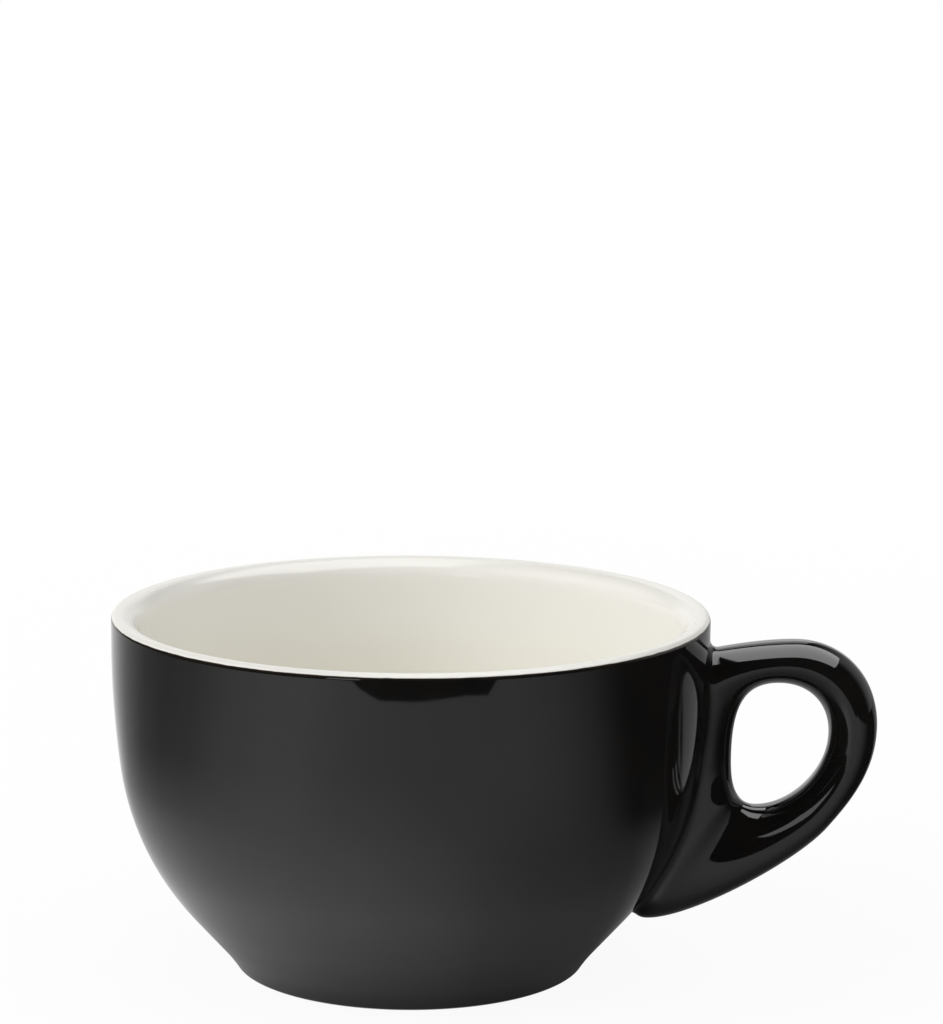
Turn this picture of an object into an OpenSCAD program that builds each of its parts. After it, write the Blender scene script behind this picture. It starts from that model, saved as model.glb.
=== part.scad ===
// Latte cup: a porcelain bowl on a foot ring, with an ear handle and glazes in two colours.
// The origin is on the bowl's axis, on the table. The handle points along +X.

/* [Bowl] */
// Diameter over the lip
rim_d = 99.5; // [94:0.5:106]
// Height from the table to the top of the lip
cup_h = 60; // [57:0.5:66]
// Thickness of the finished wall
wall_t = 4.4; // [3.6:0.1:5.4]
// Thickness of the finished floor
floor_t = 5.2; // [4:0.1:7]
// Lean of the lower wall from upright, in degrees
flare_a = 41.5; // [38:0.5:44]
// Lean that is left where the shoulder runs into the side, in degrees
side_a = 7.5; // [6:0.5:9]
// Radius of the shoulder between the lower wall and the side
shoulder_r = 46; // [40:1:49]
// Radius of the round corner between the inner wall and the floor
corner_r = 20; // [14:1:24]

/* [Lip] */
// Height of the upright band of wall under the lip
upright_h = 4; // [2:0.5:6]
// Radius of the lip's outer edge
lip_edge_r = 1.1; // [0.9:0.1:1.8]
// Depth of the colour change below the top of the lip
colour_drop = 0.6; // [0.3:0.05:0.8]

/* [Foot] */
// Diameter over the foot where it meets the table
foot_d = 57.2; // [52:0.2:62]
// Width of the flat ring that the cup stands on
foot_land = 3; // [2:0.1:5]
// Radius of the foot's rounded edges
foot_edge_r = 0.9; // [0.6:0.1:1.4]
// Lean of the wall where it leaves the foot, in degrees
foot_a = 33; // [28:0.5:37]
// Radius of the hollow sweep from the foot into the lower wall
foot_sweep_r = 30; // [20:1:40]
// Depth of the finished recess inside the foot ring
recess_h = 2.2; // [1.8:0.1:3.2]

/* [Handle] */
// Thickness of the handle, across the cup
handle_w = 10.4; // [8:0.2:13]
// Depth of the handle's top below the lip
handle_drop = 3.5; // [2.8:0.1:5]
// Height of the handle's lower end above the table
handle_low = 8.5; // [7:0.1:10]
// Height of the strap above the finger hole
strap_h = 7.3; // [6:0.1:9]
// Width of the loop at its outermost point
grip_t = 8; // [6.5:0.1:10]
// Width of the finger hole
hole_w = 16; // [14:0.2:19]
// Height of the finger hole
hole_h = 21; // [17:0.2:22]
// Gap between the lip's outer edge and the finger hole, measured level
hole_gap = 3.8; // [3:0.1:6]
// Radius of the fillet where the handle runs into the wall
fillet_r = 1.2; // [1:0.1:2.4]

/* [Joint and glaze] */
// Thickness of the glaze
glaze_t = 0.3; // [0.2:0.05:0.4]
// Thickness of the slip between handle and bowl
slip_t = 0.6; // [0.45:0.05:1]

/* [Hidden] */
porcelain = [0.93, 0.91, 0.86];
slip_grey = [0.84, 0.81, 0.75];
ivory = [0.88, 0.86, 0.78];
black = [0.03, 0.03, 0.03];
$fn = 96;
arc_steps = 8;

// How full each quarter curve of the handle's outlines is: 0.55 makes a quarter of an ellipse
hole_full = [[0.58, 0.6], [0.53, 0.48], [0.83, 0.55], [0.59, 0.82]];
grip_full = [0.58, 0.58];
// Places on the finger hole's outline, as shares of its width and height
hole_top_share = 0.49;
hole_bottom_share = 0.26;
hole_left_share = 0.379;
hole_right_share = 0.611;
// Places on the outer outline, as shares of the handle's reach and height
grip_top_share = 0.513;
grip_side_share = 0.701;
heel_share = [0.722, 0.347];
// Direction of the outer outline at the heel, and how far the curves hold theirs, as shares of the height
heel_a = 50.5;
side_hold = 0.162;
heel_hold_up = 0.109;
heel_hold_down = 0.17;
low_hold = 0.148;
// Distance of the handle's lowest point in from the lip's outer edge
low_inset = 10;
// Depth to which the handle's form runs on inside the wall, where the bowl cuts it off
root_depth = 5.5;
// Fall of the strap's top edge from its highest point to its end inside the wall
strap_fall = 3.4;
// Shares of the second and last quarters at which the outer outline turns at the heel and leaves the wall
heel_turn = 0.45;
root_turn = 0.45;
// Forms of the handle's section, at the hole's top and on from there at every half quarter. First the place
// of its crest, where it is thickest, between the hole's edge at 0 and the outer edge at 1. Then its exponents
// on the hole's side and the outer side of the crest: 2 is an ellipse, less is more pointed, more is squarer
section_forms = [
    [0.52, 1.8, 1.9],
    [0.52, 1.7, 1.95],
    [0.51, 1.6, 2.1],
    [0.68, 2.4, 2.4],
    [0.74, 2.6, 2.4],
    [0.28, 2.2, 2.4],
    [0.43, 1.6, 2.2],
    [0.48, 1.7, 1.95]
];
// Steps along each quarter of the finger hole's outline
ring_steps = 18;
// Points round half a section: shares of its angle up to the wall, then of the rest inside the wall
open_shares = [0, 0.17, 0.34, 0.5, 0.65, 0.78, 0.88, 0.95, 1];
root_shares = [0.5, 1];
// Angle up to which a section is searched for the place where it enters the wall
search_a = 150;
// Height above and below a point over which the wall's lean is measured there
lean_step = 0.5;
// Lean at which the outer glaze stops on the foot's rounded edge
glaze_stop_a = 62;

rim_r = rim_d / 2;
inner_r = rim_r - wall_t;
foot_r = foot_d / 2;
floor_z = recess_h + floor_t;

// Outward normal of a wall that leans out by angle a, as [radius, height]
function lean(a) = [cos(a), -sin(a)];

// Points on an arc round c, from lean a0 to lean a1. A hollow arc takes a negative radius.
function arc(c, r, a0, a1) =
    [for (i = [0:arc_steps]) c + r * lean(a0 + (a1 - a0) * i / arc_steps)];

function reversed(list) = [for (i = [len(list) - 1:-1:0]) list[i]];

// A list of points without those that repeat the one before
function distinct(list) =
    [for (i = [0:len(list) - 1]) if (i == 0 || norm(list[i] - list[i - 1]) > 1e-6) list[i]];

// Places where the wall's arcs begin and end, from the foot and from the lip
edge_c = [foot_r, foot_edge_r];
foot_start = edge_c + foot_edge_r * lean(foot_a);
sweep_c = foot_start + foot_sweep_r * lean(foot_a);
sweep_end = sweep_c - foot_sweep_r * lean(flare_a);
lip_c = [rim_r - lip_edge_r, cup_h - lip_edge_r];
side_top = [rim_r, lip_c.y - upright_h];

// The lower wall's length and the side's radius close the profile in radius and in height
shoulder_rise = shoulder_r * [cos(side_a) - cos(flare_a), sin(flare_a) - sin(side_a)];
left_over = side_top - sweep_end - shoulder_rise;
closing = sin(flare_a) * sin(side_a) - cos(flare_a) * (1 - cos(side_a));
flare_l = (left_over.x * sin(side_a) - left_over.y * (1 - cos(side_a))) / closing;
side_r = (left_over.y * sin(flare_a) - left_over.x * cos(flare_a)) / closing;
flare_end = sweep_end + flare_l * [sin(flare_a), cos(flare_a)];
shoulder_c = flare_end - shoulder_r * lean(flare_a);
side_c = side_top - [side_r, 0];

// The inner floor is flat out to the corner, which runs into the inside of the shoulder
corner_reach = shoulder_r - wall_t - corner_r;
corner_a = asin((shoulder_c.y - floor_z - corner_r) / corner_reach);
corner_c = shoulder_c + corner_reach * lean(corner_a);
lip_in_r = lip_c.x - inner_r;
colour_a = -asin(1 - colour_drop / lip_edge_r);

// Outside of the bowl, at a depth under the finished surface, from the foot up to the colour change
function outside(depth, start_a = glaze_stop_a) = concat(
    arc(edge_c - [0, depth], foot_edge_r - depth, start_a, foot_a),
    arc(sweep_c, -foot_sweep_r - depth, foot_a, flare_a),
    arc(shoulder_c, shoulder_r - depth, flare_a, side_a),
    arc(side_c, side_r - depth, side_a, 0),
    arc(lip_c, lip_edge_r - depth, 0, colour_a)
);

// Inside of the bowl, at a depth under the finished surface, from the colour change to the axis
function inside(depth) = concat(
    arc(lip_c, lip_edge_r - depth, colour_a, -90),
    arc([lip_c.x, cup_h - lip_in_r], lip_in_r - depth, -90, -180),
    arc(side_c, side_r - wall_t + depth, 0, side_a),
    arc(shoulder_c, shoulder_r - wall_t + depth, side_a, corner_a),
    arc(corner_c, corner_r + depth, corner_a, 90),
    [[0, floor_z - depth]]
);

// Recess under the cup, at a depth under the finished surface, from the axis to the foot ring
recess_r = foot_r - foot_land - foot_edge_r;
recess_fillet = recess_h - foot_edge_r;
function recess(depth) = concat(
    [[0, recess_h + depth]],
    arc([recess_r - recess_fillet, foot_edge_r], recess_fillet + depth, -90, 0)
);

// Bare inner edge of the foot ring, from the recess down to the table
function foot_inside() = arc([foot_r - foot_land, foot_edge_r], foot_edge_r, 180, 90);

module bowl(points) rotate_extrude() polygon(distinct(points));

// The whole bowl as a solid block, at a depth under the finished outside
module bowl_block(depth) bowl(concat(outside(depth), [[0, cup_h], [0, 0]]));

// Radius, lean and outward direction of the finished wall at a height
wall_table = [for (p = distinct(outside(0))) [p.y, p.x]];
function wall_radius(z) = lookup(z, wall_table);
function wall_lean(z) =
    atan((wall_radius(z + lean_step) - wall_radius(z - lean_step)) / (2 * lean_step));
function wall_gap(p) = (norm([p.x, p.y]) - wall_radius(p.z)) * cos(wall_lean(p.z));
function wall_normal(p) =
    let (a = wall_lean(p.z), r = norm([p.x, p.y])) [cos(a) * p.x / r, cos(a) * p.y / r, -sin(a)];
function in_wall(z) = [wall_radius(z), z] - root_depth * lean(wall_lean(z));

function unit(v) = v / max(norm(v), 1e-9);
function bezier(p, t) =
    let (s = 1 - t) s * s * s * p[0] + 3 * s * s * t * p[1] + 3 * s * t * t * p[2] + t * t * t * p[3];

// A quarter curve from a to b that starts level and ends upright, or the other way round
function quarter(a, b, full, level) = level
    ? [a, [a.x + full[0] * (b.x - a.x), a.y], [b.x, b.y + full[1] * (a.y - b.y)], b]
    : [a, [a.x, a.y + full[0] * (b.y - a.y)], [b.x + full[1] * (a.x - b.x), b.y], b];

// The finger hole's outline in the plane of the handle: top, right, bottom and left
hole_x = rim_r + hole_gap;
hole_z = cup_h - handle_drop - strap_h - hole_h;
hole_top = [hole_x + hole_top_share * hole_w, hole_z + hole_h];
hole_right = [hole_x + hole_w, hole_z + hole_right_share * hole_h];
hole_bottom = [hole_x + hole_bottom_share * hole_w, hole_z];
hole_left = [hole_x, hole_z + hole_left_share * hole_h];
hole_curves = [
    quarter(hole_top, hole_right, hole_full[0], true),
    quarter(hole_right, hole_bottom, hole_full[1], false),
    quarter(hole_bottom, hole_left, hole_full[2], true),
    quarter(hole_left, hole_top, hole_full[3], false)
];

// The handle's outer outline, which goes on inside the wall: top, side, heel, lower end and root
reach = hole_gap + hole_w + grip_t;
grip_h = cup_h - handle_drop - handle_low;
grip_top = [rim_r + grip_top_share * reach, cup_h - handle_drop];
grip_side = [rim_r + reach, handle_low + grip_side_share * grip_h];
heel = [rim_r + heel_share.x * reach, handle_low + heel_share.y * grip_h];
heel_way = grip_h * [cos(heel_a), sin(heel_a)];
grip_low = [rim_r - low_inset, handle_low];
root_mid = in_wall(hole_left.y);
root_top = in_wall(grip_top.y - strap_fall);
root_low = in_wall((root_mid.y + handle_low) / 2);
side_curve = quarter(grip_top, grip_side, grip_full, true);
heel_curve = [grip_side, grip_side - [0, side_hold * grip_h], heel + heel_hold_up * heel_way, heel];
low_curve = [heel, heel - heel_hold_down * heel_way, grip_low + [low_hold * grip_h, 0], grip_low];
root_curve = [grip_low, grip_low - [1.2 * root_depth, 0], root_low, root_mid];
strap_curve = [root_top, root_top + [root_depth, strap_fall / 2], grip_top - [root_depth, 0], grip_top];

// Points of the two outlines that face each other, at a share t of quarter q
function hole_at(q, t) = bezier(hole_curves[q], t);
function grip_at(q, t) =
    q == 0 ? bezier(side_curve, t)
    : q == 1 && t < heel_turn ? bezier(heel_curve, t / heel_turn)
    : q == 1 ? bezier(low_curve, (t - heel_turn) / (1 - heel_turn))
    : q == 2 ? bezier(root_curve, t)
    : t < root_turn ? root_mid + (root_top - root_mid) * t / root_turn
    : bezier(strap_curve, (t - root_turn) / (1 - root_turn));

// How far the fillet spreads at a gap from the wall
function fillet_spread(g) =
    g >= fillet_r ? 0 : fillet_r - sqrt(fillet_r * fillet_r - pow(fillet_r - max(g, 0), 2));
function signed_pow(v, e) = sign(v) * pow(abs(v), e);

// Form of the section at a share t of quarter q, eased from one half quarter to the next
function form_at(q, t) =
    let (
        i = 2 * q + floor(2 * t),
        f = 2 * t - floor(2 * t),
        here = section_forms[i],
        next = section_forms[(i + 1) % len(section_forms)]
    ) here + (next - here) * f * f * (3 - 2 * f);

// A section joins two facing points of the outlines. On each side of its crest it reaches to one of them.
function section_half(inner, outer, form, a, grow) =
    norm(outer - inner) * (cos(a) > 0 ? form[0] : 1 - form[0]) + grow;
function section_power(form, a) = 2 / (cos(a) > 0 ? form[1] : form[2]);

// A section's point at an angle from the hole's edge
function section_point(inner, outer, form, a, grow) =
    let (
        along = unit([outer.x - inner.x, 0, outer.y - inner.y]),
        half = section_half(inner, outer, form, a, grow),
        deep = handle_w / 2 + grow,
        crest = [inner.x, 0, inner.y] + form[0] * norm(outer - inner) * along,
        e = section_power(form, a)
    ) crest - half * signed_pow(cos(a), e) * along - [0, deep * signed_pow(sin(a), e), 0];

// Outward direction of the section at that angle
function section_normal(inner, outer, form, a, grow) =
    let (
        along = unit([outer.x - inner.x, 0, outer.y - inner.y]),
        half = section_half(inner, outer, form, a, grow),
        deep = handle_w / 2 + grow,
        e = 2 - section_power(form, a)
    ) -unit(signed_pow(cos(a), e) / half * along + [0, signed_pow(sin(a), e) / deep, 0]);

// Angle at which the section enters the wall, halving the search at each try
function wall_angle(inner, outer, form, grow, low = 0, high = search_a, tries = 16) =
    let (a = (low + high) / 2)
    tries == 0 ? a
    : wall_gap(section_point(inner, outer, form, a, grow)) > 0
        ? wall_angle(inner, outer, form, grow, a, high, tries - 1)
        : wall_angle(inner, outer, form, grow, low, a, tries - 1);

// The same point with the fillet, which spreads along the wall
function filleted_point(inner, outer, form, a, grow) =
    let (
        p = section_point(inner, outer, form, a, grow),
        n = wall_normal(p),
        out = section_normal(inner, outer, form, a, grow)
    ) p + fillet_spread(wall_gap(p)) * unit(out - (out * n) * n);

// Angles of the points round one section
function section_angles(inner, outer, form, grow) =
    let (
        entry = wall_angle(inner, outer, form, grow),
        half = concat(open_shares * entry, [for (s = root_shares) entry + s * (180 - entry)])
    ) concat(half, [for (i = [len(half) - 2:-1:1]) 360 - half[i]]);

// The handle's full form, grown or shrunk by the glaze, as one closed ring of sections
module handle_form(grow) {
    rings = 4 * ring_steps;
    sides = 2 * (len(open_shares) + len(root_shares) - 1);
    points = [
        for (q = [0:3], i = [0:ring_steps - 1])
            let (
                inner = hole_at(q, i / ring_steps),
                outer = grip_at(q, i / ring_steps),
                form = form_at(q, i / ring_steps)
            )
                for (a = section_angles(inner, outer, form, grow))
                    filleted_point(inner, outer, form, a, grow)
    ];
    function at(i, j) = (i % rings) * sides + j % sides;
    faces = [
        for (i = [0:rings - 1], j = [0:sides - 1])
            each [[at(i, j), at(i, j + 1), at(i + 1, j)], [at(i, j + 1), at(i + 1, j + 1), at(i + 1, j)]]
    ];
    polyhedron(points, faces);
}

module cup_body()
    color(porcelain)
        bowl(concat(outside(glaze_t, 90), inside(glaze_t), recess(glaze_t), foot_inside()));

module inner_glaze()
    color(ivory) bowl(concat(inside(0), reversed(inside(glaze_t))));

module outer_glaze()
    color(black) difference() {
        bowl(concat(outside(0), reversed(outside(glaze_t))));
        handle_form(-glaze_t);
    }

module base_glaze()
    color(black) bowl(concat(recess(0), reversed(recess(glaze_t))));

module handle()
    color(porcelain) difference() {
        handle_form(-glaze_t);
        bowl_block(glaze_t - slip_t);
    }

module handle_slip()
    color(slip_grey) intersection() {
        handle_form(-glaze_t);
        difference() {
            bowl_block(glaze_t - slip_t);
            bowl_block(glaze_t);
        }
    }

module handle_glaze()
    color(black) difference() {
        handle_form(0);
        handle_form(-glaze_t);
        bowl_block(0);
    }

cup_body();
handle();
handle_slip();
inner_glaze();
outer_glaze();
handle_glaze();
base_glaze();
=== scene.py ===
# %% [markdown]
# # A latte cup in black and ivory
# The object is a porcelain cup, glazed twice: ivory inside and over the lip, gloss black outside and on its
# ear handle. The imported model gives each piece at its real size, in metres, standing on z = 0 with the
# handle along +X. This lesson lays smooth coats of glaze over that frame and lights them as a small studio
# would.

# %% Load the fixed frame
import math

import bmesh
import bpy
import numpy as np
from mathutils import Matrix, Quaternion, Vector


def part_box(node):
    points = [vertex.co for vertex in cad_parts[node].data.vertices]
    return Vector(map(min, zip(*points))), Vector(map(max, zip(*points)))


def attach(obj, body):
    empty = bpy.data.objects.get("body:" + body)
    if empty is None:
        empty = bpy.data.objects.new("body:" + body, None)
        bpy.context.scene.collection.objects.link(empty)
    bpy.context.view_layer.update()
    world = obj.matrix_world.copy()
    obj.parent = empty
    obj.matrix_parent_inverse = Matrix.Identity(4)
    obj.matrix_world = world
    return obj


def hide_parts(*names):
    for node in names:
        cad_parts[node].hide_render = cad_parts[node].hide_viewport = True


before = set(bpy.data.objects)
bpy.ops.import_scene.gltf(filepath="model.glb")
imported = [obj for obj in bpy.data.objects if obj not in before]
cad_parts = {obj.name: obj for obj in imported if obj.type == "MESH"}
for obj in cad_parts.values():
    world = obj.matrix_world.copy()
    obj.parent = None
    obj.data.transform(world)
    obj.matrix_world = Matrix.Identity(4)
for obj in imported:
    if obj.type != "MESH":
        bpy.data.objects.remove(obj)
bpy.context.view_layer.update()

MM = 0.001
print("nodes:", ", ".join(sorted(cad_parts)))

# %% [markdown]
# ## The camera
# The cup is seen from a little above its rim, so that both glazes show. The rim and the foot are true
# circles, and the way they flatten gives the camera's height and distance. A lens shift could put the cup
# low in the picture, but turning the camera until the cup's middle falls on its pixel needs no shift in
# other views. The handle is turned a little towards the viewer. It stays on +X here, so the camera walks
# round to it instead, and takes the whole studio along.

# %% Place the camera
picture_w = 943
picture_h = 1024
focal_px = 3473
middle_px = (410.5, 782.2)
middle = Vector((0, 0, 0.03046))
camera_far = 0.5848
camera_up = math.radians(14.40)
camera_roll = math.radians(0.22)
studio_turn = math.radians(5.5)
turn = Quaternion((0, 0, 1), studio_turn)

camera = bpy.data.objects.new("camera", bpy.data.cameras.new("camera"))
bpy.context.scene.collection.objects.link(camera)
bpy.context.scene.camera = camera
camera.data.lens = focal_px * camera.data.sensor_width / max(picture_w, picture_h)
to_camera = turn @ Vector((0, -math.cos(camera_up), math.sin(camera_up)))
ray = Vector(((middle_px[0] - picture_w / 2) / focal_px, (picture_h / 2 - middle_px[1]) / focal_px, -1))
facing = (-to_camera).to_track_quat("-Z", "Y")
roll = Quaternion((0, 0, 1), camera_roll)
camera.location = middle + camera_far * to_camera
camera.rotation_mode = "QUATERNION"
camera.rotation_quaternion = facing @ roll @ ray.rotation_difference(Vector((0, 0, -1)))
print("lens in mm:", round(camera.data.lens, 1))

# %% [markdown]
# ## The bowl's profile
# A potter's template cuts the bowl: one outline, spun round the axis. It could be drawn as a free curve,
# but a template is made of arcs that run into each other, so arcs are used here too. Each is given by the
# lean of the wall at its two ends, and the lower wall's length and the side's radius follow, because the
# outline has to close at the lip.

# %% Arcs and the driving sizes
ARC_STEP = 0.5 * MM
ARC_LEAST = 6


def lean(angle):
    """Outward normal, as (radius, height), of a wall that leans out by an angle in degrees."""
    return np.array([math.cos(math.radians(angle)), -math.sin(math.radians(angle))])


def arc(centre, radius, start, end):
    """Points on an arc from one lean to another. A hollow arc takes a negative radius."""
    steps = max(ARC_LEAST, round(abs(radius * math.radians(end - start)) / ARC_STEP))
    return [np.array(centre) + radius * lean(a) for a in np.linspace(start, end, steps + 1)]


outer_low, outer_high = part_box("outer_glaze")
rim_r = (outer_high.y - outer_low.y) / 2
cup_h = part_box("inner_glaze")[1].z
wall_t = 4.4 * MM
floor_t = 5.2 * MM
glaze_t = 0.3 * MM
flare_a = 41.5
side_a = 7.5
shoulder_r = 46 * MM
corner_r = 20 * MM
upright_h = 4 * MM
lip_edge_r = 1.1 * MM
colour_drop = 0.6 * MM
foot_r = 28.6 * MM
foot_land = 3 * MM
foot_edge_r = 0.9 * MM
foot_a = 33
foot_sweep_r = 30 * MM
recess_h = 2.2 * MM
glaze_stop_a = 62
print("rim diameter and height in mm:", round(2 * rim_r / MM, 2), round(cup_h / MM, 2))

# %% Where the arcs begin and end
edge_c = np.array([foot_r, foot_edge_r])
foot_start = edge_c + foot_edge_r * lean(foot_a)
sweep_c = foot_start + foot_sweep_r * lean(foot_a)
sweep_end = sweep_c - foot_sweep_r * lean(flare_a)
lip_c = np.array([rim_r - lip_edge_r, cup_h - lip_edge_r])
side_top = np.array([rim_r, lip_c[1] - upright_h])

flare_way = np.array([-lean(flare_a)[1], lean(flare_a)[0]])
side_way = lean(0) - lean(side_a)
shoulder_rise = shoulder_r * (lean(side_a) - lean(flare_a))
flare_l, side_r = np.linalg.solve(np.stack([flare_way, side_way], 1), side_top - sweep_end - shoulder_rise)
shoulder_c = sweep_end + flare_l * flare_way - shoulder_r * lean(flare_a)
side_c = side_top - side_r * lean(0)

floor_z = recess_h + floor_t
corner_reach = shoulder_r - wall_t - corner_r
corner_a = math.degrees(math.asin((shoulder_c[1] - floor_z - corner_r) / corner_reach))
corner_c = shoulder_c + corner_reach * lean(corner_a)
lip_in_r = wall_t - lip_edge_r
colour_a = -math.degrees(math.asin(1 - colour_drop / lip_edge_r))
recess_r = foot_r - foot_land - foot_edge_r
recess_fillet = recess_h - foot_edge_r
print("lower wall and side radius in mm:", round(flare_l / MM, 2), round(side_r / MM, 1))


# %% The outlines, at any depth under the finished surface
DISC_SHARES = (0, 0.5, 0.9, 0.98)


def disc(radius, height):
    """Points from the axis out over a level disc, closer near its edge so that all of it shades flat."""
    return [np.array([share * radius, height]) for share in DISC_SHARES]


def outside(depth, start=glaze_stop_a):
    """From the foot up to the colour change."""
    return [
        *arc(edge_c - [0, depth], foot_edge_r - depth, start, foot_a),
        *arc(sweep_c, -foot_sweep_r - depth, foot_a, flare_a),
        *arc(shoulder_c, shoulder_r - depth, flare_a, side_a),
        *arc(side_c, side_r - depth, side_a, 0),
        *arc(lip_c, lip_edge_r - depth, 0, colour_a),
    ]


def inside(depth):
    """From the colour change over the lip and down to the axis."""
    return [
        *arc(lip_c, lip_edge_r - depth, colour_a, -90),
        *arc([lip_c[0], cup_h - lip_in_r], lip_in_r - depth, -90, -180),
        *arc(side_c, side_r - wall_t + depth, 0, side_a),
        *arc(shoulder_c, shoulder_r - wall_t + depth, side_a, corner_a),
        *arc(corner_c, corner_r + depth, corner_a, 90),
        *disc(corner_c[0], floor_z - depth)[::-1],
    ]


def recess(depth):
    """From the axis out to the foot ring, under the cup."""
    fillet_c = [recess_r - recess_fillet, foot_edge_r]
    return [*disc(fillet_c[0], recess_h + depth), *arc(fillet_c, recess_fillet + depth, -90, 0)]


foot_inside = arc([foot_r - foot_land, foot_edge_r], foot_edge_r, 180, 90)
print("points on the outside:", len(outside(0)), "and on the inside:", len(inside(0)))

# %% [markdown]
# ## Turned pieces
# A round piece could come from a Screw modifier, but a small function that spins the outline keeps the faces
# where they are wanted: even quads all round, and one point where the outline meets the axis. Each coat is a
# closed shell with its true thickness, so it can be measured, cut open or printed like the real one.

# %% Spin an outline into a closed mesh
TURN_STEPS = 240
SAME = 1e-7
SHARP_A = math.radians(40)


def add_piece(name, points, faces):
    """A smooth mesh that rides on the cup, with its faces turned outward."""
    mesh = bpy.data.meshes.new(name)
    mesh.from_pydata([tuple(p) for p in points], [], faces)
    work = bmesh.new()
    work.from_mesh(mesh)
    bmesh.ops.remove_doubles(work, verts=work.verts, dist=SAME)
    bmesh.ops.recalc_face_normals(work, faces=work.faces)
    work.to_mesh(mesh)
    work.free()
    mesh.shade_smooth()
    mesh.set_sharp_from_angle(angle=SHARP_A)
    piece = bpy.data.objects.new(name, mesh)
    bpy.context.scene.collection.objects.link(piece)
    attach(piece, "root")
    print(name, "has", len(mesh.polygons), "faces")
    return piece


def turned(name, outline):
    """A closed outline of (radius, height) points, spun round the cup's axis."""
    outline = [p for i, p in enumerate(outline) if i == 0 or np.linalg.norm(p - outline[i - 1]) > SAME]
    turns = np.linspace(0, 2 * math.pi, TURN_STEPS, endpoint=False)
    points, rings = [], []
    for radius, height in outline:
        start = len(points)
        if radius < SAME:
            points.append((0, 0, height))
            rings.append([start] * TURN_STEPS)
        else:
            points += [(radius * math.cos(a), radius * math.sin(a), height) for a in turns]
            rings.append(range(start, start + TURN_STEPS))
    faces = []
    for low, high in zip(rings, rings[1:] + rings[:1]):
        for i in range(TURN_STEPS):
            j = (i + 1) % TURN_STEPS
            corners = list(dict.fromkeys((low[i], low[j], high[j], high[i])))
            if len(corners) > 2:
                faces.append(corners)
    return add_piece(name, points, faces)


# %% [markdown]
# ## The bowl and its three coats
# Under the colour is one casting of porcelain, bare only on the ring that stands on the table, because glaze
# would stick it to the kiln shelf. Ivory covers the inside and the crown of the lip, black the outside, and
# black again the shallow recess inside the foot ring. Each coat is turned from the finished outline and the
# outline one glaze thickness under it.

# %% Turn the bowl and the coats
bowl = turned("porcelain_bowl", outside(glaze_t, 90) + inside(glaze_t) + recess(glaze_t) + foot_inside)
ivory_coat = turned("ivory_coat", inside(0) + inside(glaze_t)[::-1])
black_coat = turned("black_coat", outside(0) + outside(glaze_t)[::-1])
base_coat = turned("base_coat", recess(0) + recess(glaze_t)[::-1])

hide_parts("cup_body")
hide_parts("inner_glaze")
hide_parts("outer_glaze")
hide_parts("base_glaze")

# %% [markdown]
# ## The wall, as the handle meets it
# The handle's coat has to end exactly on the wall, or a seam would show. So the wall's radius and lean are
# read from the same outline as the black coat, and the gap of any point to the wall follows from them.

# %% Radius, lean and gap of the wall
wall_line = np.array(outside(0))
LEAN_STEP = 0.5 * MM


def wall_radius(height):
    return np.interp(height, wall_line[:, 1], wall_line[:, 0])


def wall_lean(height):
    """Lean in degrees, over a short stretch of wall."""
    rise = wall_radius(height + LEAN_STEP) - wall_radius(height - LEAN_STEP)
    return np.degrees(np.arctan(rise / (2 * LEAN_STEP)))


def wall_gap(points):
    across = np.hypot(points[..., 0], points[..., 1])
    return (across - wall_radius(points[..., 2])) * np.cos(np.radians(wall_lean(points[..., 2])))


def wall_normal(points):
    across = np.hypot(points[..., 0], points[..., 1])
    slope = np.radians(wall_lean(points[..., 2]))
    return np.stack([np.cos(slope) * points[..., 0] / across, np.cos(slope) * points[..., 1] / across,
                     -np.sin(slope)], -1)


print("wall radius at half height in mm:", round(float(wall_radius(cup_h / 2)) / MM, 2))

# %% [markdown]
# ## The handle's two outlines
# Seen from the side, an ear handle is two closed lines: the finger hole, and the outer edge that leaves the
# wall under the lip, rounds the grip and runs back in a long straight heel. Both are made of quarter curves,
# from the topmost to the outermost point and so on, so that their widest places are known sizes.

# %% Quarter curves
handle_low = 8.5 * MM
strap_h = 7.3 * MM
grip_t = 8 * MM
hole_w = 16 * MM
hole_h = 21 * MM
handle_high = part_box("handle_glaze")[1]
hole_gap = handle_high.x - rim_r - hole_w - grip_t


def at(x, z):
    return np.array([x, z])


def bezier(p, t):
    s = 1 - t
    return s**3 * p[0] + 3 * s * s * t * p[1] + 3 * s * t * t * p[2] + t**3 * p[3]


def quarter(a, b, full, level):
    """Control points from a to b, level to upright or back. Larger shares in full make it rounder."""
    if level:
        return a, at(a[0] + full[0] * (b[0] - a[0]), a[1]), at(b[0], b[1] + full[1] * (a[1] - b[1])), b
    return a, at(a[0], a[1] + full[0] * (b[1] - a[1])), at(b[0] + full[1] * (a[0] - b[0]), b[1]), b


print("handle reaches", round((handle_high.x - rim_r) / MM, 1), "mm out from the lip")

# %% The finger hole
hole_top_share = 0.49
hole_right_share = 0.611
hole_bottom_share = 0.26
hole_left_share = 0.379
hole_full = [(0.58, 0.6), (0.53, 0.48), (0.83, 0.55), (0.59, 0.82)]

hole_x = rim_r + hole_gap
hole_z = handle_high.z - strap_h - hole_h
hole_top = at(hole_x + hole_top_share * hole_w, hole_z + hole_h)
hole_right = at(hole_x + hole_w, hole_z + hole_right_share * hole_h)
hole_bottom = at(hole_x + hole_bottom_share * hole_w, hole_z)
hole_left = at(hole_x, hole_z + hole_left_share * hole_h)
hole_curves = [
    quarter(hole_top, hole_right, hole_full[0], True),
    quarter(hole_right, hole_bottom, hole_full[1], False),
    quarter(hole_bottom, hole_left, hole_full[2], True),
    quarter(hole_left, hole_top, hole_full[3], False),
]


def hole_at(station):
    """Point at a station: 0 is the top, and each quarter curve takes 1."""
    return bezier(hole_curves[int(station) % 4], station % 1)


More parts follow.
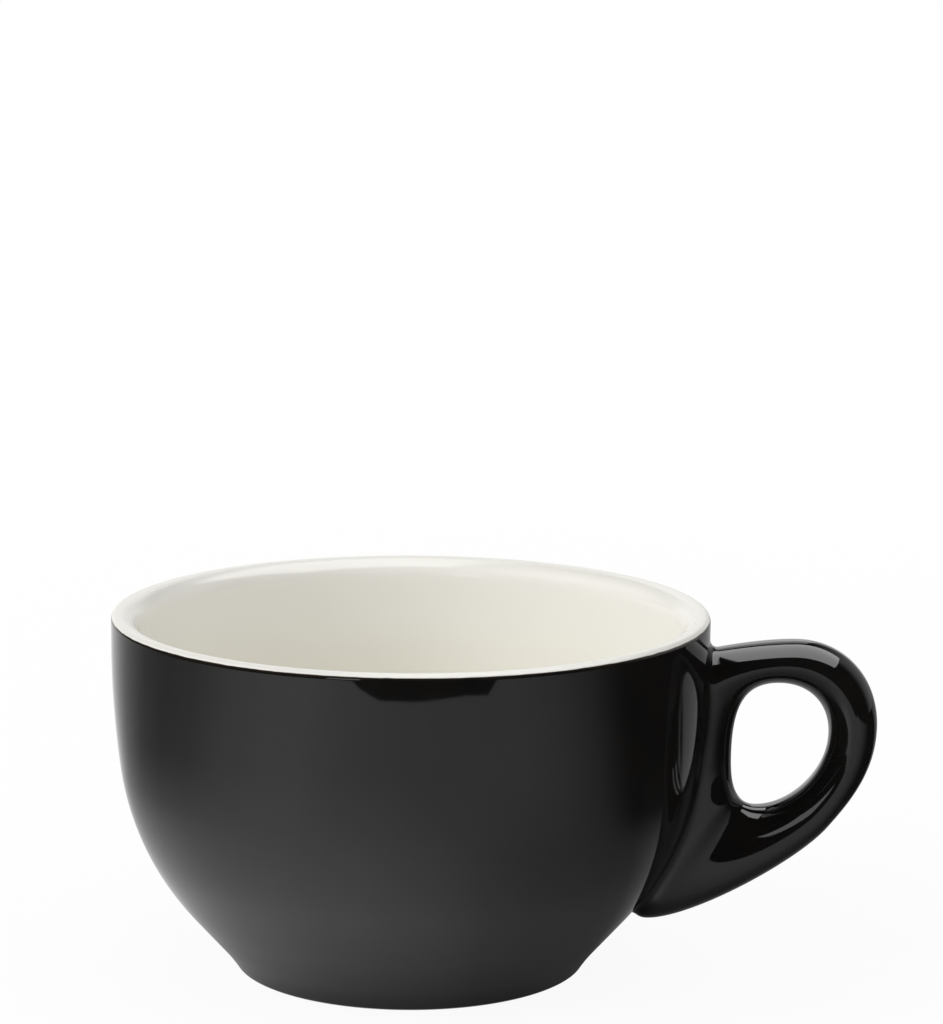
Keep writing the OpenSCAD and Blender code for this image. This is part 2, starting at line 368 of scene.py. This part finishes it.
print("finger hole in mm:", round(hole_w / MM, 1), "by", round(hole_h / MM, 1))

# %% The outer edge
reach = handle_high.x - rim_r
grip_h = handle_high.z - handle_low
root_depth = 5.5 * MM
strap_fall = 3.4 * MM
low_inset = 10 * MM
grip_top_share = 0.513
grip_side_share = 0.701
grip_full = (0.58, 0.58)
heel_share = (0.722, 0.347)
heel_a = math.radians(50.5)
side_hold = 0.162
heel_hold_up = 0.109
heel_hold_down = 0.17
low_hold = 0.148
root_hold = 1.2
HEEL_TURN = 0.45
ROOT_TURN = 0.45


def in_wall(height):
    """A point inside the wall, where the outer edge runs on unseen."""
    return at(float(wall_radius(height)), height) - root_depth * lean(float(wall_lean(height)))


grip_top = at(rim_r + grip_top_share * reach, handle_high.z)
grip_side = at(rim_r + reach, handle_low + grip_side_share * grip_h)
heel = at(rim_r + heel_share[0] * reach, handle_low + heel_share[1] * grip_h)
heel_way = grip_h * at(math.cos(heel_a), math.sin(heel_a))
grip_low = at(rim_r - low_inset, handle_low)
root_mid = in_wall(hole_left[1])
root_top = in_wall(grip_top[1] - strap_fall)
root_low = in_wall((root_mid[1] + handle_low) / 2)
side_curve = quarter(grip_top, grip_side, grip_full, True)
heel_curve = (grip_side, grip_side - at(0, side_hold * grip_h), heel + heel_hold_up * heel_way, heel)
low_curve = (heel, heel - heel_hold_down * heel_way, grip_low + at(low_hold * grip_h, 0), grip_low)
root_curve = (grip_low, grip_low - at(root_hold * root_depth, 0), root_low, root_mid)
strap_curve = (root_top, root_top + at(root_depth, strap_fall / 2), grip_top - at(root_depth, 0), grip_top)


def grip_at(station):
    """Point of the outer edge that faces the finger hole's point at the same station."""
    part, t = int(station) % 4, station % 1
    if part == 0:
        return bezier(side_curve, t)
    if part == 1 and t < HEEL_TURN:
        return bezier(heel_curve, t / HEEL_TURN)
    if part == 1:
        return bezier(low_curve, (t - HEEL_TURN) / (1 - HEEL_TURN))
    if part == 2:
        return bezier(root_curve, t)
    if t < ROOT_TURN:
        return root_mid + (root_top - root_mid) * t / ROOT_TURN
    return bezier(strap_curve, (t - ROOT_TURN) / (1 - ROOT_TURN))


for label, point in [("top", grip_top), ("heel", heel), ("lower end", grip_low)]:
    print("outer edge's", label, "in mm:", np.round(point / MM, 1))

# %% [markdown]
# ## Sections of the handle
# Between two facing points of the outlines lies one rounded section, close to an ellipse. Its form changes
# round the ring. The crest, where it is widest, is nearer the hole at the root and nearer the outer edge on
# the heel. Towards the hole the section is more pointed at the grip and the root, and squarer on the heel.
# One row below gives the crest and the exponents of the hole's side and the outer side, for each half
# quarter.
#
# Near the wall a section spreads sideways into a fillet, where slip was wiped into the corner before firing.
# A boolean cut would leave ragged triangles there, so the angle at which a section meets the wall is
# searched for instead, and the last point is laid exactly on it. Glaze pools in such a corner, so the coat's
# fillet is a hair larger than the one in the clay under it.

# %% One section, with its fillet
handle_w = 10.4 * MM
fillet_r = 1.4 * MM
SECTION_FORMS = np.array([
    [0.52, 1.8, 1.9],
    [0.52, 1.7, 1.95],
    [0.51, 1.6, 2.1],
    [0.68, 2.4, 2.4],
    [0.74, 2.6, 2.4],
    [0.28, 2.2, 2.4],
    [0.43, 1.6, 2.2],
    [0.48, 1.7, 1.95],
])
COLUMNS = 40
HALVINGS = 24


def signed_power(values, exponent):
    return np.sign(values) * np.abs(values) ** exponent


def unit(vectors):
    return vectors / np.maximum(np.linalg.norm(vectors, axis=-1, keepdims=True), SAME)


def section_form(station):
    """Crest and both exponents at a station, eased from one half quarter to the next."""
    step, t = divmod(2 * (station % 4), 1)
    here, there = SECTION_FORMS[int(step)], SECTION_FORMS[(int(step) + 1) % len(SECTION_FORMS)]
    return here + (there - here) * t * t * (3 - 2 * t)


def section_points(station, angles):
    """Points and outward directions of half a section, at angles from the finger hole's edge."""
    inner, outer = hole_at(station), grip_at(station)
    share, hole_n, edge_n = section_form(station)
    depth = np.linalg.norm(outer - inner)
    along = unit(np.array([outer[0] - inner[0], 0, outer[1] - inner[1]]))
    across = np.array([0, 1, 0])
    crest = np.array([inner[0], 0, inner[1]]) + share * depth * along
    c, s = np.cos(angles)[:, None], np.sin(angles)[:, None]
    half = depth * np.where(c > 0, share, 1 - share)
    flat = 2 / np.where(c > 0, hole_n, edge_n)
    points = crest - half * signed_power(c, flat) * along - handle_w / 2 * signed_power(s, flat) * across
    out = signed_power(c, 2 - flat) / half * along + signed_power(s, 2 - flat) / (handle_w / 2) * across
    return points, -unit(out)


def meeting_angle(station):
    """Angle at which the section enters the wall, or half a turn where it stays clear of it."""
    low, high = 0.0, math.pi
    if wall_gap(section_points(station, np.array([high]))[0])[0] >= 0:
        return math.pi
    for _ in range(HALVINGS):
        mid = (low + high) / 2
        clear = wall_gap(section_points(station, np.array([mid]))[0])[0] > 0
        low, high = (mid, high) if clear else (low, mid)
    return low


def eased(count):
    """Shares from 0 to 1 that crowd towards both ends."""
    return (1 - np.cos(np.linspace(0, math.pi, count + 1))) / 2


def half_section(station):
    """The row of points at a station, spread along the wall where they come near it."""
    points, out = section_points(station, meeting_angle(station) * eased(COLUMNS))
    gap = np.clip(wall_gap(points), 0, fillet_r)[:, None]
    spread = fillet_r - np.sqrt(fillet_r**2 - (fillet_r - gap) ** 2)
    normal = wall_normal(points)
    moved = points + spread * unit(out - np.sum(out * normal, -1, keepdims=True) * normal)
    drift = wall_gap(moved) - wall_gap(points)
    return np.where(spread > 0, moved - drift[:, None] * wall_normal(moved), points)


print("columns round half a section:", COLUMNS + 1)

# %% [markdown]
# ## The handle's coat
# Rows of points run once round the finger hole. On the root's side the wall cuts them short, and elsewhere
# they close on the outer edge, so the two places where that changes get a row of their own, with others
# crowded near it. The far half mirrors the near one, and a Solidify modifier gives the coat its thickness.

# %% Weave the rows into the coat
CLOSED_ROWS = 150
OPEN_ROWS = 70


def crossing(clear, sunk):
    """Station between a clear one and a sunk one, where the outer edge passes through the wall."""
    for _ in range(HALVINGS):
        mid = (clear + sunk) / 2
        edge = grip_at(mid)
        if wall_gap(np.array([edge[0], 0, edge[1]])) > 0:
            clear = mid
        else:
            sunk = mid
    return clear


low_root = crossing(2.0, 3.0)
high_root = crossing(3.999, 3.0)
clear_stations = high_root - 4 + (low_root - high_root + 4) * eased(CLOSED_ROWS)
sunk_stations = (low_root + (high_root - low_root) * eased(OPEN_ROWS))[1:-1]
near = np.array([half_section(s % 4) for s in [*clear_stations, *sunk_stations]])
far = near * [1, -1, 1]
rows = len(near)
width = COLUMNS + 1
handle_faces = []
for i in range(rows):
    here, there = i * width, (i + 1) % rows * width
    for j in range(COLUMNS):
        corners = (here + j, here + j + 1, there + j + 1, there + j)
        handle_faces.append(corners)
        handle_faces.append(tuple(rows * width + k for k in corners[::-1]))
handle_coat = add_piece("handle_coat", np.concatenate([near, far]).reshape(-1, 3), handle_faces)
thickness = handle_coat.modifiers.new("glaze", "SOLIDIFY")
thickness.thickness = glaze_t
thickness.offset = -1
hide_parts("handle_glaze")
print("the outer edge meets the wall at stations", round(low_root, 3), "and", round(high_root, 3))

# %% [markdown]
# ## Shader maths as Python
# Node trees are hard to read in code when each Math node takes four lines. Here one small class wraps an
# output socket: arithmetic on it adds the Math node, and its node method makes any other node, with its
# settings first and its sockets after them.

# %% A wire between shader nodes
class Wire:
    """One output socket of a shader node."""

    def __init__(self, socket):
        self.socket = socket

    def node(self, kind, settings, sockets, output=0):
        made = self.socket.id_data.nodes.new(kind)
        for name, value in settings.items():
            if name == "stops":
                set_stops(made.color_ramp, value)
            else:
                setattr(made, name, value)
        for name, value in sockets.items():
            plug(made.inputs[name], value)
        return Wire(made.outputs[output])

    def math(self, operation, first, second):
        return self.node("ShaderNodeMath", {"operation": operation}, {0: first, 1: second})

    def __add__(self, other):
        return self.math("ADD", self, other)

    def __sub__(self, other):
        return self.math("SUBTRACT", self, other)

    def __rsub__(self, other):
        return self.math("SUBTRACT", other, self)

    def __mul__(self, other):
        return self.math("MULTIPLY", self, other)

    __radd__ = __add__
    __rmul__ = __mul__


def plug(socket, value):
    if isinstance(value, Wire):
        socket.id_data.links.new(value.socket, socket)
    else:
        socket.default_value = value


def set_stops(ramp, stops):
    """Stops of a colour ramp, as (place, grey) pairs."""
    while len(ramp.elements) < len(stops):
        ramp.elements.new(0)
    for element, (place, grey) in zip(ramp.elements, stops):
        element.position = place
        element.color = (grey, grey, grey, 1)


print("a wire takes + - and *, with a number on either side")

# %% [markdown]
# ## Helpers that every finish uses
# A finish starts from the piece's own coordinates, which are metres in the cup's frame, so that a pattern
# has a real size. Small helpers cover what the finishes need: a cloudy pattern of a given grain, a soft step
# between two values, a blend of two colours, the height and the radius to steer them by, and a relief.

# %% Grain, soft steps and blends
def new_finish(name):
    """A material with a Principled shader: the material, the shader's inputs and the coordinates."""
    material = bpy.data.materials.new(name)
    material.use_nodes = True
    shader = material.node_tree.nodes["Principled BSDF"].inputs
    place = Wire(material.node_tree.nodes.new("ShaderNodeTexCoord").outputs["Object"])
    return material, shader, place


def cloud(place, grain, detail=2.0):
    """A cloudy pattern from 0 to 1, whose patches are about one grain across, in metres."""
    sockets = {"Vector": place, "Scale": 1 / grain, "Detail": detail}
    return place.node("ShaderNodeTexNoise", {}, sockets, "Fac")


def soft_step(value, start, end):
    """0 before start, 1 after end, and smooth between them."""
    sockets = {"Value": value, "From Min": start, "From Max": end}
    return value.node("ShaderNodeMapRange", {"interpolation_type": "SMOOTHSTEP"}, sockets)


def blend(factor, first, second):
    """A colour between two colours."""
    return factor.node("ShaderNodeMix", {"data_type": "RGBA"}, {0: factor, 6: first, 7: second}, 2)


def height_of(place):
    return place.node("ShaderNodeSeparateXYZ", {}, {"Vector": place}, "Z")


def radius_of(place):
    """Distance from the cup's axis."""
    level = place.node("ShaderNodeVectorMath", {"operation": "MULTIPLY"}, {0: place, 1: (1, 1, 0)}, "Vector")
    return level.node("ShaderNodeVectorMath", {"operation": "LENGTH"}, {0: level}, "Value")


def relief(height, depth):
    """A normal that follows a height pattern from 0 to 1, of a depth in metres."""
    return height.node("ShaderNodeBump", {}, {"Height": height, "Distance": depth})


print("a pattern with a grain of 1 mm has scale", 1 / MM)

# %% [markdown]
# ## Gloss black glaze
# The black is a dark stain in clear glass. It is so dark that nearly all that shows is what it mirrors, so
# the surface matters more than the colour: a slow ripple left by the melt bends the reflections a little,
# and a fine orange peel dulls them. Where the melt draws thin, at the colour change and at the foot, brown
# shows through.

# %% The black glaze
deep_black = (0.0040, 0.0040, 0.0043, 1)
warm_black = (0.0075, 0.0066, 0.0058, 1)
thin_brown = (0.045, 0.030, 0.019, 1)
thin_share = 0.7
thin_reach = 0.45 * MM
wander_grain = 4 * MM
wander_depth = 0.5 * MM
mottle_grain = 7 * MM
black_gloss = 0.025
black_dulling = 0.03
black_dull_grain = 11 * MM
ripple_grain = 16 * MM
ripple_share = 0.9
peel_grain = 0.9 * MM
colour_line = cup_h - colour_drop
glaze_foot = edge_c[1] + foot_edge_r * lean(glaze_stop_a)[1]


def melt(place, peel_share, depth):
    """The normal of a surface that has run: a slow ripple, with a share of fine orange peel."""
    ripple = cloud(place, ripple_grain, 1.0) * ripple_share + cloud(place, peel_grain) * peel_share
    return relief(ripple, depth)


black_glaze, shader, place = new_finish("black_glaze")
height = height_of(place)
wander = cloud(place, wander_grain) * wander_depth - wander_depth / 2
thin = soft_step(height + wander, colour_line - thin_reach, colour_line + thin_reach)
thin = thin + soft_step(height + wander, glaze_foot + thin_reach, glaze_foot - thin_reach)
mottle = cloud(place, mottle_grain, 4.0)
plug(shader["Base Color"], blend(thin * thin_share, blend(mottle, deep_black, warm_black), thin_brown))
plug(shader["Roughness"], cloud(place, black_dull_grain, 3.0) * black_dulling + black_gloss)
plug(shader["Normal"], melt(place, 0.02, 0.022 * MM))
plug(shader["IOR"], 1.55)
print("black glaze thins towards", round(colour_line / MM, 1), "mm and", round(glaze_foot / MM, 2), "mm")

# %% [markdown]
# ## Gloss ivory glaze
# The inside is a warm white glaze, clear enough that the colour deepens where light bounces from wall to
# wall. It pools a little yellower towards the bottom, and runs thin over the crown of the lip, where it is
# duller. The crown's colour is darker too: partly thin glaze, partly painted shade that holds down the light
# the crown catches. At the colour change a hair of black has crept up into it, unevenly, as two wet glazes
# do.

# %% The ivory glaze
ivory = (0.862, 0.850, 0.815, 1)
ivory_pooled = (0.822, 0.801, 0.702, 1)
# painted shade: the crown's darker colour is partly thin glaze and partly painted shade against the light it
# catches
ivory_thin_and_shaded = (0.725, 0.712, 0.664, 1)
crown_z = cup_h - 2 * MM
pool_z = cup_h - 5 * MM
pooled_z = 0.42 * cup_h
pool_share = 0.8
pool_grain = 14 * MM
creep_grain = 2.5 * MM
creep_rise = 0.16 * MM
creep_above = 0.03 * MM
creep_below = 0.06 * MM
creep_band = 0.5 * MM
ivory_gloss = 0.07
ivory_dulling = 0.05
ivory_dull_grain = 9 * MM
crown_dulling = 0.2

ivory_glaze, shader, place = new_finish("ivory_glaze")
height = height_of(place)
pooled = soft_step(height, pool_z, pooled_z) * pool_share + cloud(place, pool_grain, 3.0) * (1 - pool_share)
# the top 2 mm take the darker crown colour: thin glaze and painted shade together
crown = soft_step(height, crown_z, cup_h)
coat_colour = blend(crown, blend(pooled, ivory, ivory_pooled), ivory_thin_and_shaded)
creep = cloud(place, creep_grain, 3.0) * creep_rise
crept = soft_step(height - creep, colour_line + creep_above, colour_line - creep_below)
crept = crept * soft_step(radius_of(place), lip_c[0], lip_c[0] + creep_band)
plug(shader["Base Color"], blend(crept, coat_colour, thin_brown))
dull = cloud(place, ivory_dull_grain, 3.0) * ivory_dulling + crown * crown_dulling
plug(shader["Roughness"], dull + ivory_gloss)
plug(shader["Normal"], melt(place, 0.03, 0.03 * MM))
plug(shader["IOR"], 1.5)
print("ivory pools below", round(pool_z / MM, 1), "mm and thins above", round(crown_z / MM, 1), "mm")

# %% [markdown]
# ## Bare porcelain and slip
# The foot ring is ground flat after firing: a dry, sugary white that picks up grey from table tops. The slip
# under the handle is the same clay, fired from a paste, a shade darker and rougher. Both are matt, so grain
# goes into colour, roughness and relief together.

# %% The two bare clays
soil_grain = 6 * MM
soil_from = 0.5
soil_full = 0.7
soil_share = 0.6
sugar_share = 0.25
clay_rough = 0.5
clay_rough_more = 0.2
GRAIN_DEPTH = 1 / 8


def bare_clay(name, clean, soiled, grain):
    """A matt clay of a given grain, with soiled patches."""
    material, shader, place = new_finish(name)
    sugar = cloud(place, grain, 3.0)
    soil = soft_step(cloud(place, soil_grain, 5.0), soil_from, soil_full)
    plug(shader["Base Color"], blend(soil * soil_share + sugar * sugar_share, clean, soiled))
    plug(shader["Roughness"], sugar * clay_rough_more + clay_rough)
    plug(shader["Normal"], relief(sugar, GRAIN_DEPTH * grain))
    return material


porcelain = bare_clay("bare_porcelain", (0.80, 0.775, 0.715, 1), (0.52, 0.50, 0.47, 1), 0.35 * MM)
fired_slip = bare_clay("fired_slip", (0.74, 0.70, 0.62, 1), (0.60, 0.56, 0.49, 1), 0.6 * MM)
print("clays:", porcelain.name, fired_slip.name)

# %% Dress every piece
for piece, finish in [(bowl, porcelain), (ivory_coat, ivory_glaze), (black_coat, black_glaze),
                      (base_coat, black_glaze), (handle_coat, black_glaze)]:
    piece.data.materials.append(finish)
for node, finish in [("handle", porcelain), ("handle_slip", fired_slip)]:
    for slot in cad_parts[node].material_slots:
        slot.material = finish

# %% [markdown]
# ## Floor and backdrop
# A white sweep lies under the cup and rises far behind it. To the camera it is plain white, with a trace of
# the cup's shadow, so most of its colour is a glow that only rays which look at the background see, and that
# lights nothing. Mirrored in the glaze, the white is only behind the cup, and the room in front is dark.

# %% Lay the floor
def seen_rays(tree):
    """1 for the rays that look at the background: straight, mirrored or through glass."""
    path = tree.nodes.new("ShaderNodeLightPath").outputs
    seen = Wire(path["Is Camera Ray"])
    for kind in ("Is Glossy Ray", "Is Transmission Ray"):
        seen = seen.math("MAXIMUM", seen, Wire(path[kind]))
    return seen


def empty_finish(name):
    """A material with an empty tree: the material, its tree and the coordinates."""
    material = bpy.data.materials.new(name)
    material.use_nodes = True
    tree = material.node_tree
    tree.nodes.clear()
    return material, tree, Wire(tree.nodes.new("ShaderNodeTexCoord").outputs["Object"])


def glow_mix(tree, share, dull):
    """Ends a tree with a dull colour that a share of pure white glow covers."""
    paper = share.node("ShaderNodeBsdfDiffuse", {}, {"Color": dull})
    glow = share.node("ShaderNodeEmission", {}, {"Color": (1, 1, 1, 1), "Strength": 1.0})
    mixed = share.node("ShaderNodeMixShader", {}, {0: share, 1: paper, 2: glow})
    plug(tree.nodes.new("ShaderNodeOutputMaterial").inputs["Surface"], mixed)


def stage_card(name, corners, height, material):
    """A level sheet of the stage, through its corners."""
    mesh = bpy.data.meshes.new(name)
    mesh.from_pydata([(x, y, height) for x, y in corners], [], [range(len(corners))])
    mesh.materials.append(material)
    card = bpy.data.objects.new(name, mesh)
    bpy.context.scene.collection.objects.link(card)
    card.rotation_mode = "QUATERNION"
    card.rotation_quaternion = turn
    return card


def square(half):
    return [(-half, -half), (half, -half), (half, half), (-half, half)]


FLOOR_HALF = 3.0
floor_drop = 0.02 * MM
near_glow = 0.93
near_reach = 0.12
full_reach = 0.6
sweep_white = (0.90, 0.90, 0.90, 1)
sweep, tree, place = empty_finish("white_sweep")
glow = soft_step(radius_of(place), near_reach, full_reach) * (1 - near_glow) + near_glow
glow_mix(tree, seen_rays(tree) * glow, sweep_white)
stage_card("floor", square(FLOOR_HALF), -floor_drop, sweep)
print("floor is", 2 * FLOOR_HALF, "m wide")

# %% Light the world
ambient = 0.78
side_share = 0.45
white_behind = (0.75, 0.95)
pale_across = (0.2, 0.7)
pale_behind = (-0.1, 0.4)
world = bpy.data.worlds.new("studio")
bpy.context.scene.world = world
world.use_nodes = True
tree = world.node_tree
seen = seen_rays(tree)
camera_ray = Wire(tree.nodes.new("ShaderNodeLightPath").outputs["Is Camera Ray"])
direction = Wire(tree.nodes.new("ShaderNodeTexCoord").outputs["Generated"])
rotation = {"Vector": direction, "Angle": -studio_turn}
direction = direction.node("ShaderNodeVectorRotate", {"rotation_type": "Z_AXIS"}, rotation)
across = direction.node("ShaderNodeSeparateXYZ", {}, {"Vector": direction}, "X")
back = direction.node("ShaderNodeSeparateXYZ", {}, {"Vector": direction}, "Y")
white = soft_step(back, *white_behind)
pale = soft_step(across, *pale_across) * soft_step(back, *pale_behind) * side_share
backdrop = camera_ray.math("MAXIMUM", camera_ray, white.math("MAXIMUM", white, pale))
plug(tree.nodes["Background"].inputs["Color"], (1, 1, 1, 1))
plug(tree.nodes["Background"].inputs["Strength"], seen * backdrop + (1 - seen) * ambient)
bpy.context.scene.view_settings.view_transform = "Standard"
print("ambient light:", ambient)

# %% [markdown]
# ## Lamps
# A gloss black cup is lit by what stands round it. A wide softbox hangs overhead, to the right, and a lower
# one stands behind: they draw the bright lines along the strap. A small one, low in front, draws the streak
# on the heel. These three are there for the reflections alone. The fourth, on the left, lights the ivory and
# is kept out of the reflections, as a lamp behind a scrim would be.

# %% Hang the lamps
def softbox(name, place, aim, size, brightness, mirrored):
    """A rectangular lamp of a given radiance, where 1 is the white of the sweep."""
    lamp = bpy.data.lights.new(name, "AREA")
    lamp.shape = "RECTANGLE"
    lamp.size, lamp.size_y = size
    lamp.energy = brightness * math.pi * size[0] * size[1]
    holder = bpy.data.objects.new(name, lamp)
    holder.location = turn @ Vector(place)
    holder.rotation_mode = "QUATERNION"
    holder.rotation_quaternion = (turn @ (Vector(aim) - Vector(place))).to_track_quat("-Z", "Y")
    holder.visible_camera = False
    holder.visible_glossy = mirrored
    holder.visible_diffuse = not mirrored
    bpy.context.scene.collection.objects.link(holder)
    print(name, "gives", round(lamp.energy, 2), "W")


softbox("overhead", (0.211, 0.045, 0.55), (0.211, 0.045, 0), (0.606, 0.690), 3.4, True)
softbox("front", (-0.46, -1.0, 0.24), (-0.46, 0, 0.24), (0.26, 0.32), 1.5, True)
softbox("behind", (0.05, 1.0, 0.72), (0.05, 0, 0.72), (0.55, 0.62), 0.8, True)
softbox("left", (-0.75, -0.25, 0.62), (0, 0, 0.05), (0.7, 0.7), 3.0, False)

# %% [markdown]
# ## Shaded paper
# Below its lip the black wall looks down, so it mirrors the table all round the cup: a pool of light on the
# left, darkness on the right, and a dark card in front. That could be had from flags and a spot lamp, but a
# sheet of shaded paper that only mirrors see is steadier. One ramp shades it near the foot, one further out,
# and the table under the handle is darker still.

# %% Lay the shaded paper
near_shade = [(-180, 0.90), (-150, 0.84), (-130, 0.74), (-95, 0.80), (-65, 0.90), (-40, 1.0), (-15, 0.92),
              (8, 0.70), (22, 0.49), (37, 0.35), (52, 0.26), (66, 0.18), (80, 0.14), (95, 0.22), (180, 0.90)]
far_shade = [(-180, 1.0), (-160, 0.98), (-142, 0.74), (-128, 0.42), (-112, 0.23), (-98, 0.20), (-82, 0.32),
             (-67, 0.56), (-50, 0.74), (-37, 0.77), (-22, 0.63), (8, 0.51), (37, 0.48), (52, 0.37),
             (67, 0.18), (84, 0.02), (115, 0.02), (117, 0.20), (131, 0.26), (150, 0.35), (165, 0.60),
             (180, 1.0)]
PAPER_HALF = 1.05 * FLOOR_HALF
paper_lift = 0.3 * MM
near_to_far = (0.045, 0.165)
foot_shadow = (0.026, 0.052)
foot_light = 0.3
handle_start = (64, 84)
handle_end = (116, 112)
handle_reach = (0.07, 0.115)
handle_dark = 0.85
table_end = (0.36, 0.50)
table_front = (0.25, 0.05)
near_black = (0.002, 0.002, 0.002, 1)


def turn_share(angle):
    """A bearing in degrees, from 0 towards the camera to 90 on the handle's side, as a place from 0 to 1."""
    return angle / 360 + 0.5


def round_the_cup(shades):
    return [(turn_share(angle), grey) for angle, grey in shades]


def only_mirrored(card):
    for ray_kind in ("visible_camera", "visible_diffuse", "visible_shadow", "visible_transmission"):
        setattr(card, ray_kind, False)


shaded, tree, place = empty_finish("shaded_paper")
x = place.node("ShaderNodeSeparateXYZ", {}, {"Vector": place}, "X")
y = place.node("ShaderNodeSeparateXYZ", {}, {"Vector": place}, "Y")
bearing = x.math("ARCTAN2", x, 0 - y) * (0.5 / math.pi) + 0.5
radius = radius_of(place)
near_light = bearing.node("ShaderNodeValToRGB", {"stops": round_the_cup(near_shade)}, {"Fac": bearing})
far_light = bearing.node("ShaderNodeValToRGB", {"stops": round_the_cup(far_shade)}, {"Fac": bearing})
light = near_light + (far_light - near_light) * soft_step(radius, *near_to_far)
light = light * (soft_step(radius, *foot_shadow) * (1 - foot_light) + foot_light)
under_handle = soft_step(bearing, *map(turn_share, handle_start))
under_handle = under_handle * soft_step(bearing, *map(turn_share, handle_end))
light = light * (1 - under_handle * soft_step(radius, *handle_reach) * handle_dark)
light = light * (1 - soft_step(radius, *table_end) * soft_step(y, *table_front))
glow_mix(tree, light, near_black)
only_mirrored(stage_card("shaded_paper", square(PAPER_HALF), paper_lift, shaded))
print("shades near and far:", len(near_shade), len(far_shade))

# %% Lay the dark card in front
card_corners = [(-0.150, -0.360), (-0.150, -1.0), (0.620, -1.0), (0.204, -0.333), (0.138, -0.279),
                (0.100, -0.297), (0.060, -0.299), (-0.020, -0.297), (-0.055, -0.293), (-0.100, -0.318)]
card_grain = 0.02
card_glow = 0.01
dark, tree, place = empty_finish("dark_card")
glow_mix(tree, cloud(place, card_grain) * card_glow, near_black)
only_mirrored(stage_card("dark_card", card_corners, 2 * paper_lift, dark))
print("dark card starts", -max(y for _, y in card_corners), "m in front of the axis")
